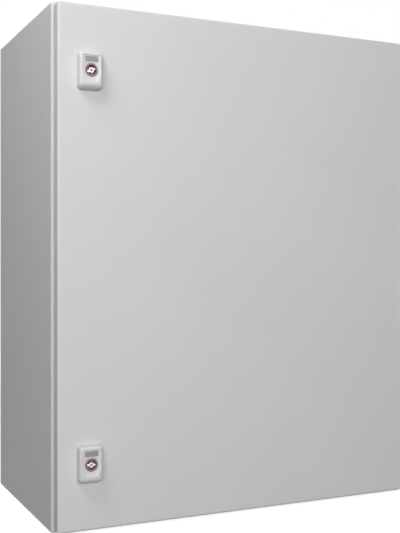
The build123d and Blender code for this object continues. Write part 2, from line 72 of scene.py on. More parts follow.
# %% [markdown]
# ## The camera
# The photograph was taken level, from the front left, so that the left side shows as a narrow band
# and upright edges stay upright. The camera could be aimed at the object with a constraint, but a
# place and one turn are plainer and they repeat exactly. They, the lens and the small shift were
# solved from the straight edges of the door and of the side.

# %% Camera
mm = 0.001
picture_height = 533  # the longer side of the picture, of which Blender's shift is a share
turn = 25.872  # degrees to the right of straight ahead
axis_right, axis_up = 23.68, 4.42  # picture points from the middle to where the lens points

camera_data = bpy.data.cameras.new("photo_camera")
camera_data.sensor_width = 36
camera_data.lens = 62.579
camera_data.shift_x = -axis_right / picture_height
camera_data.shift_y = -axis_up / picture_height
camera = bpy.data.objects.new("photo_camera", camera_data)
camera.location = (-0.65541, -1.62604, 0.00767)
camera.rotation_euler = (math.radians(90), 0, math.radians(-turn))
bpy.context.scene.collection.objects.link(camera)
bpy.context.scene.camera = camera
print("camera at", tuple(round(v, 3) for v in camera.location))

# %% [markdown]
# ## The light
# A studio lights a pale cabinet with soft boxes. Here a small lamp stands close by at the upper
# left, which makes the sheets fade towards the bottom. A wide one far in front and a low one at the
# front left fill in. Three more serve the other views. The one at the right and the one behind are
# no wider than the side that they face, so that they don't graze its neighbours and bleach them.
# Area lamps are used because a soft box is a flat glowing sheet.

# %% Lamps
def soft_box(name, place, target, side, watts, spread=180):
    """A square lamp that looks at a target, unseen by the camera; a grid may narrow its spread."""
    lamp = bpy.data.lights.new(name, "AREA")
    lamp.shape = "SQUARE"
    lamp.size = side
    lamp.energy = watts
    lamp.spread = math.radians(spread)
    holder = bpy.data.objects.new(name, lamp)
    holder.location = place
    aim = Vector(target) - Vector(place)
    holder.rotation_euler = aim.to_track_quat("-Z", "Y").to_euler()
    holder.visible_camera = False
    bpy.context.scene.collection.objects.link(holder)


middle = (0, -0.2, 0)
soft_box("key_lamp", (-0.95, -0.8, 1.2), middle, 0.5, 10.6)
soft_box("low_lamp", (-1.3, -2.6, 0.4), middle, 1.6, 29.2)
soft_box("front_lamp", (-0.125, -4.01, 0.75), middle, 2.0, 58.4)
soft_box("right_lamp", (2.4, -0.17, 0), (0.3, -0.17, 0), 0.35, 4.6, 70)
soft_box("rear_lamp", (0, 2.8, 0), (0, 0, 0), 0.5, 5.6, 60)
soft_box("top_lamp", (0.7, 0.9, 2.6), middle, 1.6, 8)
print(len(bpy.data.lights), "lamps")

# %% [markdown]
# ## World and floor
# The photograph has a plain white ground. If white came from more light, the pale cabinet would
# bleach, so camera and mirror rays see white while the light that reaches the surfaces stays low.
# The Light Path node tells the two kinds of rays apart. The floor glows a little less near the
# object, so that its shadow stays visible there, and meets the white world without a seam.

# %% World
def seen_ray(tree):
    """A value of 1 for rays that see or mirror a surface, and 0 for rays that gather light."""
    path = tree.nodes.new("ShaderNodeLightPath")
    seen = path.outputs["Is Camera Ray"]
    for kind in ("Is Glossy Ray", "Is Transmission Ray"):
        widest = tree.nodes.new("ShaderNodeMath")
        widest.operation = "MAXIMUM"
        tree.links.new(seen, widest.inputs[0])
        tree.links.new(path.outputs[kind], widest.inputs[1])
        seen = widest.outputs[0]
    return seen


def grey_shader(tree, kind, grey, strength=1.0):
    """A shader of one plain grey, with a strength where it glows."""
    shader = tree.nodes.new(kind)
    shader.inputs["Color"].default_value = (grey, grey, grey, 1)
    if "Strength" in shader.inputs:
        shader.inputs["Strength"].default_value = strength
    return shader


def part_rays(tree, gathered, shown, output_kind):
    """Gives one shader to the rays that gather light and another to the rays that see."""
    blend = tree.nodes.new("ShaderNodeMixShader")
    output = tree.nodes.new(output_kind)
    tree.links.new(seen_ray(tree), blend.inputs["Fac"])
    tree.links.new(gathered.outputs[0], blend.inputs[1])
    tree.links.new(shown.outputs[0], blend.inputs[2])
    tree.links.new(blend.outputs[0], output.inputs["Surface"])


world = bpy.data.worlds.new("studio")
bpy.context.scene.world = world
world.use_nodes = True
tree = world.node_tree
tree.nodes.clear()
gathered = grey_shader(tree, "ShaderNodeBackground", 1, 0.01)
shown = grey_shader(tree, "ShaderNodeBackground", 1)
part_rays(tree, gathered, shown, "ShaderNodeOutputWorld")
bpy.context.scene.view_settings.view_transform = "Standard"
print("world ready")

# %% Floor
floor_size, floor_drop = 16, 0.5 * mm
near_glow, far_glow = 0.86, 1.0  # at 1 m and at 3 m from the middle


def map_range(tree, value, start, end, low, high):
    """A number that runs from low to high as the value runs from start to end."""
    scale = tree.nodes.new("ShaderNodeMapRange")
    scale.inputs["From Min"].default_value = start
    scale.inputs["From Max"].default_value = end
    scale.inputs["To Min"].default_value = low
    scale.inputs["To Max"].default_value = high
    tree.links.new(value, scale.inputs["Value"])
    return scale.outputs["Result"]


bpy.ops.object.select_all(action="DESELECT")
bpy.ops.mesh.primitive_plane_add(size=floor_size, location=(0, 0, cad_box[0].z - floor_drop))
floor = bpy.context.object
floor.name = "studio_floor"
bpy.ops.object.transform_apply(location=True, rotation=True, scale=True)

floor_material = bpy.data.materials.new("studio_floor")
floor_material.use_nodes = True
tree = floor_material.node_tree
tree.nodes.clear()
under_light = grey_shader(tree, "ShaderNodeBsdfDiffuse", 0.12)
seen_cloth = grey_shader(tree, "ShaderNodeBsdfDiffuse", 0.4)
glow = grey_shader(tree, "ShaderNodeEmission", 1)
both = tree.nodes.new("ShaderNodeAddShader")
place = tree.nodes.new("ShaderNodeTexCoord")
distance = tree.nodes.new("ShaderNodeVectorMath")
distance.operation = "LENGTH"
tree.links.new(place.outputs["Object"], distance.inputs[0])
fade = map_range(tree, distance.outputs["Value"], 1.0, 3.0, near_glow, far_glow)
tree.links.new(fade, glow.inputs["Strength"])
tree.links.new(seen_cloth.outputs[0], both.inputs[0])
tree.links.new(glow.outputs[0], both.inputs[1])
part_rays(tree, under_light, both, "ShaderNodeOutputMaterial")
floor.data.materials.append(floor_material)
print("floor at height", round(cad_box[0].z - floor_drop, 4))

# %% [markdown]
# ## A kit for finishes
# Every finish here starts the same way: a Principled shader, a noise that reads Object coordinates
# in metres, and a colour and a gloss that wander a little with it. Helpers build that start, and
# each finish then adds what is its own. Numbers that are the same all over are set on the shader.

# %% Finish helpers
def new_finish(name, roughness, metallic=0.0):
    """A material with a Principled shader, and with it its tree, its shader and its coordinates."""
    material = bpy.data.materials.new(name)
    material.use_nodes = True
    tree = material.node_tree
    shader = tree.nodes["Principled BSDF"]
    shader.inputs["Roughness"].default_value = roughness
    shader.inputs["Metallic"].default_value = metallic
    place = tree.nodes.new("ShaderNodeTexCoord")
    return material, tree, shader, place.outputs["Object"]


def noise(tree, place, grain, detail=3.0, stretch=(1, 1, 1)):
    """Noise whose grains are about the given size in metres, stretched along the axes if asked."""
    mapping = tree.nodes.new("ShaderNodeMapping")
    mapping.inputs["Scale"].default_value = [1 / (grain * s) for s in stretch]
    texture = tree.nodes.new("ShaderNodeTexNoise")
    texture.inputs["Scale"].default_value = 1.0
    texture.inputs["Detail"].default_value = detail
    tree.links.new(place, mapping.inputs["Vector"])
    tree.links.new(mapping.outputs[0], texture.inputs["Vector"])
    return texture.outputs["Fac"]


def shades(tree, value, dark, light, low, high):
    """A colour that runs from dark to light as the value runs from low to high."""
    ramp = tree.nodes.new("ShaderNodeValToRGB")
    ramp.color_ramp.elements[0].position = low
    ramp.color_ramp.elements[0].color = (*dark, 1)
    ramp.color_ramp.elements[1].position = high
    ramp.color_ramp.elements[1].color = (*light, 1)
    tree.links.new(value, ramp.inputs["Fac"])
    return ramp.outputs["Color"]


def wander(tree, shader, value, dark, light, smooth, rough, low=0.3, high=0.7):
    """Lets the colour run from dark to light, and the gloss from smooth to rough, with a value."""
    tree.links.new(shades(tree, value, dark, light, low, high), shader.inputs["Base Color"])
    roughness = map_range(tree, value, 0.25, 0.75, smooth, rough)
    tree.links.new(roughness, shader.inputs["Roughness"])


def relief(tree, shader, value, height, strength):
    """Turns a value into a bump of the given height in metres."""
    bump = tree.nodes.new("ShaderNodeBump")
    bump.inputs["Distance"].default_value = height
    bump.inputs["Strength"].default_value = strength
    tree.links.new(value, bump.inputs["Height"])
    tree.links.new(bump.outputs["Normal"], shader.inputs["Normal"])


print("finish helpers ready")

# %% [markdown]
# ## Powder coat
# The body and the door are sprayed with polyester powder and baked. It flows into a faintly dimpled
# skin, the orange peel, with a satin gloss. A second, larger noise lets the shade and the gloss
# wander by a hair, as on a real sheet. The peel could be displaced geometry, but a bump is enough
# for a relief of a few hundredths of a millimetre.

# %% Powder coat
coat, tree, shader, place = new_finish("light_grey_coat", 0.52)
shader.inputs["Specular IOR Level"].default_value = 0.25
cloud = noise(tree, place, 140 * mm, 2.0)
wander(tree, shader, cloud, (0.612, 0.611, 0.612), (0.628, 0.627, 0.628), 0.49, 0.55)
relief(tree, shader, noise(tree, place, 2.2 * mm, 2.0), 0.03 * mm, 0.35)
print("powder coat ready")

# %% [markdown]
# ## Bare and plated metals
# Galvanised sheet shows faint spangle, flat crystals a centimetre or so across, which Voronoi cells
# draw well. Zinc plating is bluish and a little streaky, cast zinc is greyer with a fine sandy
# skin, and ground pins have fine rings. All are metallic, so they look like what they mirror.

# %% Metals
cells_per_metre = 90
galvanised, tree, shader, place = new_finish("galvanised_plate", 0.5, 1.0)
mapping = tree.nodes.new("ShaderNodeMapping")
mapping.inputs["Scale"].default_value = (cells_per_metre,) * 3
spangle = tree.nodes.new("ShaderNodeTexVoronoi")
spangle.inputs["Scale"].default_value = 1.0
spangle.inputs["Randomness"].default_value = 0.9
tree.links.new(place, mapping.inputs["Vector"])
tree.links.new(mapping.outputs[0], spangle.inputs["Vector"])
cells = spangle.outputs["Color"]
wander(tree, shader, cells, (0.31, 0.32, 0.33), (0.41, 0.42, 0.43), 0.47, 0.60, 0.2, 0.8)
relief(tree, shader, noise(tree, place, 1.2 * mm), 0.01 * mm, 0.3)

plated, tree, shader, place = new_finish("zinc_plated_steel", 0.28, 1.0)
film = noise(tree, place, 4 * mm, 4.0)
wander(tree, shader, film, (0.55, 0.57, 0.60), (0.70, 0.71, 0.73), 0.22, 0.36)
relief(tree, shader, noise(tree, place, 0.6 * mm), 0.01 * mm, 0.3)

cast_zinc, tree, shader, place = new_finish("die_cast_zinc", 0.42, 1.0)
skin = noise(tree, place, 1.5 * mm, 5.0)
wander(tree, shader, skin, (0.50, 0.51, 0.52), (0.62, 0.63, 0.64), 0.36, 0.50)
relief(tree, shader, skin, 0.03 * mm, 0.4)

pin_steel, tree, shader, place = new_finish("bright_pin_steel", 0.22, 1.0)
rings = noise(tree, place, 0.4 * mm, 2.0, (30, 30, 1))
wander(tree, shader, rings, (0.60, 0.60, 0.60), (0.75, 0.75, 0.74), 0.16, 0.30)
print("4 metals ready")

# %% [markdown]
# ## Plastics, foam and rubber
# The lock covers are moulded in a finely eroded tool, which leaves a dull, even grain. The rings
# are smoother and dark rose. The labels are bare dark plates. The seal is poured polyurethane foam
# with a soft skin full of tiny pores, and the gaskets under the lock covers are plain rubber.

# %% Plastics, foam and rubber
cover_plastic, tree, shader, place = new_finish("housing_plastic", 0.5)
grain = noise(tree, place, 0.5 * mm, 4.0)
wander(tree, shader, grain, (0.600, 0.602, 0.596), (0.640, 0.641, 0.636), 0.44, 0.54)
relief(tree, shader, grain, 0.02 * mm, 0.4)

ring_plastic, tree, shader, place = new_finish("ring_plastic", 0.42)
grain = noise(tree, place, 0.8 * mm, 3.0)
wander(tree, shader, grain, (0.262, 0.132, 0.164), (0.312, 0.165, 0.200), 0.36, 0.48)
relief(tree, shader, grain, 0.01 * mm, 0.3)

label_plastic, tree, shader, place = new_finish("label_plastic", 0.4)
brushed = noise(tree, place, 0.25 * mm, 3.0, (24, 1, 1))
wander(tree, shader, brushed, (0.215, 0.230, 0.228), (0.265, 0.280, 0.277), 0.34, 0.46)
relief(tree, shader, brushed, 0.01 * mm, 0.3)

foam, tree, shader, place = new_finish("seal_foam", 0.8)
pores = noise(tree, place, 0.9 * mm, 6.0)
wander(tree, shader, pores, (0.016, 0.016, 0.017), (0.040, 0.040, 0.042), 0.68, 0.9)
relief(tree, shader, pores, 0.12 * mm, 0.6)

rubber, tree, shader, place = new_finish("gasket_rubber", 0.7)
bloom = noise(tree, place, 3 * mm, 4.0)
wander(tree, shader, bloom, (0.012, 0.012, 0.012), (0.028, 0.028, 0.028), 0.6, 0.8)
print("5 plastics and rubbers ready")

# %% [markdown]
# ## Dressing the CAD nodes
# The folded sheets, plates and castings already have their true shapes, so they keep them and only
# get the finish that their slot in the record names. One loop does it for all of them.

# %% Dress the CAD nodes
finishes = {
    "light_grey_coat": coat,
    "galvanised_plate": galvanised,
    "zinc_plated_steel": plated,
    "bright_pin_steel": pin_steel,
    "die_cast_zinc": cast_zinc,
    "seal_foam": foam,
    "gasket_rubber": rubber,
    "housing_plastic": cover_plastic,
    "ring_plastic": ring_plastic,
    "label_plastic": label_plastic,
}
for subpart in frame["record"]["subparts"]:
    node = nodes[subpart["node"]]
    node.data.materials.clear()
    node.data.materials.append(finishes[subpart["material_slot"]])

# %% [markdown]
# ## Modelling by hand, in code
# Pieces are modelled with the same operators as by hand: add a primitive, enter edit mode, pick
# faces or edges, and extrude, inset, bevel or spin them. There is no mouse here, so the picking is
# done by place and direction. Every piece leaves edit mode with its place in its mesh and its
# object at the origin, as the CAD nodes have theirs.

# %% Picking helpers
aligned = 0.99  # the cosine above which two directions count as one


def deselect():
    """Leaves edit mode and selects nothing, because an operator acts on all that is selected."""
    if bpy.context.object and bpy.context.object.mode != "OBJECT":
        bpy.ops.object.mode_set(mode="OBJECT")
    bpy.ops.object.select_all(action="DESELECT")


def begin(kind, name, place, scale=(1, 1, 1), **shape):
    """Adds a primitive, writes its place and scale into its mesh and enters edit mode."""
    deselect()
    add = {
        "cube": bpy.ops.mesh.primitive_cube_add,
        "plane": bpy.ops.mesh.primitive_plane_add,
        "cylinder": bpy.ops.mesh.primitive_cylinder_add,
    }[kind]
    add(location=place, **shape)
    piece = bpy.context.object
    piece.name = piece.data.name = name
    piece.scale = scale
    bpy.ops.object.transform_apply(location=True, rotation=True, scale=True)
    bpy.ops.object.mode_set(mode="EDIT")
    bpy.ops.mesh.select_mode(type="VERT")
    bpy.ops.mesh.select_all(action="SELECT")
    return piece


def pick(piece, kind, test):
    """Selects only the vertices ("VERT"), edges ("EDGE") or faces ("FACE") that pass the test."""
    bpy.ops.mesh.select_mode(type=kind)
    bpy.ops.mesh.select_all(action="DESELECT")
    mesh = bmesh.from_edit_mesh(piece.data)
    for item in {"VERT": mesh.verts, "EDGE": mesh.edges, "FACE": mesh.faces}[kind]:
        if test(item):
            item.select_set(True)
    mesh.select_flush_mode()
    bmesh.update_edit_mesh(piece.data)


def faces_towards(piece, direction):
    """Picks the faces that look in a direction."""
    pick(piece, "FACE", lambda f: f.normal.dot(Vector(direction)) > aligned)


def edges_along(piece, direction, where=lambda middle: True):
    """Picks the edges that run along a direction, and whose middle is where it is asked for."""
    def test(edge):
        """Whether an edge runs that way and is where it is asked for."""
        start, end = (v.co for v in edge.verts)
        run = end - start
        if run.length == 0 or abs(run.normalized().dot(Vector(direction))) <= aligned:
            return False
        return where((start + end) / 2)

    pick(piece, "EDGE", test)


print("picking helpers ready")

# %% Shaping helpers
along_y = (math.pi / 2, 0, 0)  # the turn that lays an upright primitive along Y
weld = 0.001 * mm  # points nearer than this become one


def extrude(step):
    """Extrudes what is selected and moves it by a step."""
    bpy.ops.mesh.extrude_region_move(TRANSFORM_OT_translate={"value": step})


def round_corners(block, radius, segments):
    """Rounds the edges of a block that run along Y."""
    edges_along(block, (0, 1, 0))
    bpy.ops.mesh.bevel(offset=radius, segments=segments, affect="EDGES")


def close_up():
    """Turns every face of the piece in edit mode outwards and leaves edit mode."""
    bpy.ops.mesh.select_all(action="SELECT")
    bpy.ops.mesh.normals_make_consistent(inside=False)
    bpy.ops.object.mode_set(mode="OBJECT")


def lathe(name, outline, steps=24, centre=(0, 0, 0)):
    """Turns an outline of (radius, depth) points in mm round the Y axis through the centre."""
    points = [(radius * mm, depth * mm) for radius, depth in outline]
    radius, depth = points[0]
    piece = begin("plane", name, (centre[0] + radius, depth, centre[2]), size=1 * mm)
    bpy.ops.mesh.merge(type="CENTER")
    for next_radius, next_depth in points[1:]:
        extrude((next_radius - radius, next_depth - depth, 0))
        radius, depth = next_radius, next_depth
    bpy.ops.mesh.select_all(action="SELECT")
    bpy.ops.mesh.spin(steps=steps, angle=2 * math.pi, center=centre, axis=(0, 1, 0))
    bpy.ops.mesh.select_all(action="SELECT")
    bpy.ops.mesh.remove_doubles(threshold=weld)
    close_up()
    return piece


def add_modifier(piece, kind, **settings):
    """Puts a modifier on a piece and applies it at once."""
    modifier = piece.modifiers.new(kind.lower(), kind)
    for setting, value in settings.items():
        setattr(modifier, setting, value)
    bpy.context.view_layer.objects.active = piece
    bpy.ops.object.modifier_apply(modifier=modifier.name)


def soften(piece, width, angle):
    """Breaks every edge that is sharper than an angle in degrees."""
    add_modifier(
        piece, "BEVEL",
        width=width, segments=2, limit_method="ANGLE", angle_limit=math.radians(angle),
    )


def carve(piece, tool, how="DIFFERENCE"):
    """Cuts the tool out of the piece, or joins it on with UNION, and removes the tool."""
    deselect()
    add_modifier(piece, "BOOLEAN", object=tool, operation=how, solver="EXACT")
    bpy.data.objects.remove(tool)


def finish_piece(piece, finish, slot_name, body, *replaced, angle=30):
    """Smooths the soft edges, gives the finish, hangs the piece under its body and hides the CAD
    parts that it replaces.
    """
    deselect()
    piece.select_set(True)
    bpy.context.view_layer.objects.active = piece
    bpy.ops.object.shade_smooth_by_angle(angle=math.radians(angle))
    piece.data.materials.clear()
    piece.data.materials.append(finish)
    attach(piece, body)
    if replaced:
        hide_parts(*replaced)
    print(piece.name, len(piece.data.polygons), "faces")


print("shaping helpers ready")

# %% [markdown]
# ## Lock covers
# Each lock has a moulded cover with drafted sides, a well rounded front edge and a sunk,
# shield-shaped panel for the label and the key ring. It starts as a block whose corners are
# bevelled before its front is tapered, as a mould maker would draw it. Below the panel the front
# falls back in a soft chin: rows of vertices are moved back along an arc. The sunk panel is a
# second solid that is carved away: its walls lean outwards, which is hard to reach with insets.

# %% Sizes of the lock covers
door_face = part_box("door_panel")[0].y
ring_low, ring_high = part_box("upper_lock_ring")
lock_x = (ring_low.x + ring_high.x) / 2
shoulder = ring_high.y  # where the ring rests on the barrel's collar
lock_heights = {}
for word in ("upper", "lower"):
    low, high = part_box(f"{word}_lock_ring")
    lock_heights[word] = (low.z + high.z) / 2

cover_corner, cover_round, cover_edge = 6 * mm, 4.5 * mm, 0.25 * mm
cover_draft = math.radians(3)
chin_start, chin_round = 17.6 * mm, 9.5 * mm  # below the lock's axis; the radius of the arc
chin_rows, chin_step = 4, 1.6 * mm
straight_foot = 1 * mm  # the cover's foot on the door, which the chin leaves straight
panel_sink, panel_corner = 1.2 * mm, 1.6 * mm
panel_top, panel_bend, panel_bottom = 20.6 * mm, 4.2 * mm, 15 * mm  # from the lock's axis
panel_half, panel_foot = 12.5 * mm, 7 * mm  # half its width, and half of it at the lower end
ring_seat, collar_seat, seat_reach = 9.7 * mm, 10.8 * mm, 10 * mm
overlap = 1 * mm  # how far a tool reaches past the face that it cuts
hair = 0.01 * mm  # an edge as near as this to the front lies on it
same_place = 1e-7  # points as near as this are in one row
print("locks at", round(lock_x, 4), {word: round(z, 4) for word, z in lock_heights.items()})

# %% Lock covers
def sunk_panel(axis_height, panel_floor):
    """The solid to carve out of a cover: a shield whose walls lean out by 45 degrees."""
    middle_height = axis_height + (panel_top - panel_bend) / 2
    tool = begin(
        "plane", "panel_tool", (lock_x, panel_floor, middle_height),
        size=1, scale=(2 * panel_half, panel_top + panel_bend, 1), rotation=along_y,
    )
    edges_along(tool, (1, 0, 0), lambda m: m.z < middle_height)
    extrude((0, 0, panel_bend - panel_bottom))
    bpy.ops.transform.resize(
        value=(panel_foot / panel_half, 1, 1), center_override=(lock_x, panel_floor, axis_height)
    )
    bpy.ops.mesh.select_all(action="SELECT")
    bpy.ops.mesh.dissolve_faces()
    pick(tool, "VERT", lambda v: True)
    bpy.ops.mesh.bevel(offset=panel_corner, segments=5, affect="VERTICES")
    bpy.ops.mesh.select_all(action="SELECT")
    reach = 2 * panel_sink
    extrude((0, -reach, 0))
    low, high = axis_height - panel_bottom, axis_height + panel_top
    bpy.ops.transform.resize(
        value=((panel_half + reach) / panel_half, 1, (high - low + 2 * reach) / (high - low)),
        center_override=(lock_x, panel_floor, (low + high) / 2),
    )
    close_up()
    return tool


def round_chin(cover, start, front):
    """Bends the front below a height back along an arc, more at the face than at the foot."""
    for row in range(1, chin_rows + 1):
        bpy.ops.mesh.select_all(action="SELECT")
        bpy.ops.mesh.bisect(plane_co=(0, 0, start - row * chin_step), plane_no=(0, 0, 1))
    mesh = bmesh.from_edit_mesh(cover.data)
    rear = door_face - straight_foot
    below_start = [v.co for v in mesh.verts if v.co.z < start and v.co.y < rear]
    for y, z in sorted({(round(spot.y, 7), round(spot.z, 7)) for spot in below_start}):
        below = min(start - z, chin_round)
        back = chin_round - math.sqrt(chin_round ** 2 - below ** 2)
        share = (rear - y) / (rear - front)
        pick(
            cover, "VERT",
            lambda v: abs(v.co.y - y) < same_place and abs(v.co.z - z) < same_place,
        )
        bpy.ops.transform.translate(value=(0, back * share, 0))


def lock_cover(word):
    """Models one cover and carves its panel and the seat of its ring."""
    low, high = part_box(f"{word}_lock_housing")
    size, centre = high - low, (low + high) / 2
    axis_height = lock_heights[word]
    cover = begin("cube", f"{word}_lock_cover", centre, size=1, scale=size)
    round_corners(cover, cover_corner, 8)
    taper = size.y * math.tan(cover_draft)
    faces_towards(cover, (0, -1, 0))
    bpy.ops.transform.resize(
        value=(1 - 2 * taper / size.x, 1, 1 - 2 * taper / size.z),
        center_override=(centre.x, low.y, centre.z),
    )
    pick(cover, "EDGE", lambda e: all(abs(v.co.y - low.y) < hair for v in e.verts))
    bpy.ops.mesh.bevel(offset=cover_round, segments=7, affect="EDGES")
    round_chin(cover, axis_height - chin_start, low.y)
    bpy.ops.object.mode_set(mode="OBJECT")
    carve(cover, sunk_panel(axis_height, low.y + panel_sink))

    seat = begin(
        "cylinder", "seat_tool", (lock_x, (door_face + shoulder) / 2 + overlap, axis_height),
        vertices=64, radius=collar_seat, depth=door_face - shoulder + 2 * overlap,
        rotation=along_y,
    )
    faces_towards(seat, (0, -1, 0))
    bpy.ops.mesh.inset(thickness=collar_seat - ring_seat)
    extrude((0, -seat_reach, 0))
    bpy.ops.object.mode_set(mode="OBJECT")
    carve(cover, seat)
    soften(cover, cover_edge, 35)
    finish_piece(
        cover, cover_plastic, "housing_plastic", "door", f"{word}_lock_housing", angle=28
    )


for word in lock_heights:
    lock_cover(word)

# %% [markdown]
# ## Key rings
# A dark rose ring marks each key socket. It is round, so it is turned like a bead on a lathe: half
# an outline is drawn point by point and spun round the lock's axis. Its sleeve goes down to the
# floor of the socket, so the walls of the socket are rose as well.

# %% Key rings
key_floor = -0.3535
ring_front, ring_rear, sleeve_end = ring_low.y / mm, shoulder / mm, key_floor / mm - 0.2
socket_outline = [
    (7.2, sleeve_end), (7.2, ring_front + 0.7), (7.35, ring_front + 0.25), (7.8, ring_front),
    (8.9, ring_front), (9.35, ring_front + 0.2), (9.6, ring_front + 0.7), (9.6, ring_rear),
    (7.9, ring_rear), (7.9, sleeve_end), (7.2, sleeve_end),
]
for word, height in lock_heights.items():
    ring = lathe(f"{word}_key_ring", socket_outline, 64, (lock_x, 0, height))
    finish_piece(ring, ring_plastic, "ring_plastic", "door", f"{word}_lock_ring", angle=40)

# %% [markdown]
# ## Key plugs
# The plug is what the key turns: a cast post with a dimple in its end and two bits, on a round
# floor, and a square end behind for the cam. The post and the floor are one turning; the bits and
# the square are blocks with bevelled edges that are joined on with a boolean union, as one casting
# has no seams. A thin rose disc lies on the zinc floor round the post, so that the socket is dark
# rose all round: the dark disc is painted shade for the depth of the socket.

# %% Key plugs
post_front = -0.3623
plug_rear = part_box("upper_lock_cam")[0].y
square_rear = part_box("upper_lock_insert")[1].y
bit_turns = {"upper": 25, "lower": 0}
bit_span, bit_width, bit_round, bit_sink = 12.6 * mm, 3 * mm, 0.45 * mm, 0.2 * mm
dimple_radius, dimple_reach = 2.16 * mm, 16 * mm  # a hair wider than the post's own dimple
square_side, square_round, square_lap = 9 * mm, 0.6 * mm, 0.4 * mm

post_end, floor_level, plug_end = post_front / mm, key_floor / mm, plug_rear / mm
plug_outline = [
    (0, post_end + 8.4), (2, post_end + 8), (2.1, post_end + 0.1), (2.2, post_end),
    (3.5, post_end), (3.8, post_end + 0.3), (3.8, floor_level - 0.3), (4.1, floor_level),
    (7.6, floor_level), (7.95, floor_level + 0.35), (7.95, plug_end), (0, plug_end),
]
# The outline of the dark disc on the socket floor, which is painted shade.
shade_disc_outline = [
    (4.3, floor_level + 0.2), (4.3, floor_level - 0.05), (4.4, floor_level - 0.09),
    (7.0, floor_level - 0.09), (7.1, floor_level - 0.05), (7.1, floor_level + 0.2),
    (4.3, floor_level + 0.2),
]


def key_plug(word, turn):
    """Models one plug, with its bits turned by degrees, and its square end."""
    height = lock_heights[word]
    plug = lathe(f"{word}_key_plug", plug_outline, 48, (lock_x, 0, height))
    bits = begin(
        "cube", "bits_tool", (lock_x, (post_front + key_floor) / 2 + bit_sink, height),
        size=1, scale=(bit_span, key_floor - post_front, bit_width),
        rotation=(0, -math.radians(turn), 0),
    )
    bpy.ops.mesh.bevel(offset=bit_round, segments=3, affect="EDGES")
    bpy.ops.object.mode_set(mode="OBJECT")
    dimple = begin(
        "cylinder", "dimple_tool", (lock_x, post_front, height),
        vertices=40, radius=dimple_radius, depth=dimple_reach, rotation=along_y,
    )
    bpy.ops.object.mode_set(mode="OBJECT")
    carve(bits, dimple)
    carve(plug, bits, "UNION")
    square = begin(
        "cube", "square_tool", (lock_x, (plug_rear + square_rear) / 2 - square_lap / 2, height),
        size=1, scale=(square_side, square_rear - plug_rear + square_lap, square_side),
    )
    round_corners(square, square_round, 3)
    bpy.ops.object.mode_set(mode="OBJECT")
    carve(plug, square, "UNION")
    finish_piece(plug, cast_zinc, "die_cast_zinc", f"{word}_lock", f"{word}_lock_insert")


for word, turn in bit_turns.items():
    key_plug(word, turn)
    # The dark rose disc on the socket floor is painted shade.
    shade_disc = lathe(f"{word}_key_floor", shade_disc_outline, 48, (lock_x, 0, lock_heights[word]))
    finish_piece(shade_disc, ring_plastic, "ring_plastic", f"{word}_lock", f"{word}_lock_insert")

# %% [markdown]
# ## Labels
# Above each ring sits a small plate. On the real lock it carries a name; here it is bare. It is a
# block with rounded corners and a soft rim: the front is inset and pushed back a little, so that
# the plate catches the light along its edge.

# %% Labels
label_corner, label_rim, label_sink, label_edge = 1 * mm, 0.5 * mm, 0.15 * mm, 0.08 * mm
for word in lock_heights:
    low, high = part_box(f"{word}_lock_label")
    label = begin("cube", f"{word}_blank_label", (low + high) / 2, size=1, scale=high - low)
    round_corners(label, label_corner, 5)
    faces_towards(label, (0, -1, 0))
    bpy.ops.mesh.inset(thickness=label_rim)
    bpy.ops.mesh.inset(thickness=label_sink, depth=-label_sink)
    bpy.ops.object.mode_set(mode="OBJECT")
    soften(label, label_edge, 50)
    finish_piece(label, label_plastic, "label_plastic", "door", f"{word}_lock_label")

# %% [markdown]
# ## The door seal
# The seal is foam that a nozzle lays in one bead round the door, where it rises and sets with a
# round back. One rounded rectangle is inset to a frame as wide as the bead. The frame is then
# raised in small steps, each one narrower, so that its section becomes a dome; a bevel would leave
# a flat back.

# %% Door seal
seal_low, seal_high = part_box("door_seal")
seal_size, seal_middle = seal_high - seal_low, (seal_low + seal_high) / 2
bead, bead_wall = 13 * mm, 2.5 * mm
bead_bend = 10.75 * mm  # the radius of a corner along the middle of the bead
bead_rise = seal_size.y - bead_wall

seal = begin(
    "plane", "foamed_door_seal", (seal_middle.x, seal_low.y, seal_middle.z),
    size=1, scale=(seal_size.x, seal_size.z, 1), rotation=(-math.pi / 2, 0, 0),
)
bpy.ops.mesh.bevel(offset=bead_bend + bead / 2, segments=10, affect="VERTICES")
faces_towards(seal, (0, 1, 0))
bpy.ops.mesh.inset(thickness=bead)
bpy.ops.mesh.delete(type="FACE")
bpy.ops.mesh.select_all(action="SELECT")
bpy.ops.mesh.inset(thickness=0, depth=bead_wall)
dome = [math.radians(10 * step) for step in range(8)]
for before, after in zip(dome, dome[1:]):
    bpy.ops.mesh.inset(
        thickness=bead / 2 * (math.cos(before) - math.cos(after)),
        depth=bead_rise * (math.sin(after) - math.sin(before)),
    )
bpy.ops.transform.translate(value=(0, bead_rise * (1 - math.sin(dome[-1])), 0))
pick(seal, "EDGE", lambda e: e.is_boundary)
bpy.ops.mesh.bridge_edge_loops()
close_up()
finish_piece(seal, foam, "seal_foam", "door", "door_seal")

# %% [markdown]
# ## Patterns and copies
# Studs, nuts and washers repeat. Each kind is modelled once at the origin, pointing to +Y, and
# copied to its places. A copy could share the pattern's mesh, but every copy here has a mesh of its
# own with its place in it, so that each is a separate solid, as the CAD solids are.

# %% Copies
steel = (plated, "zinc_plated_steel")


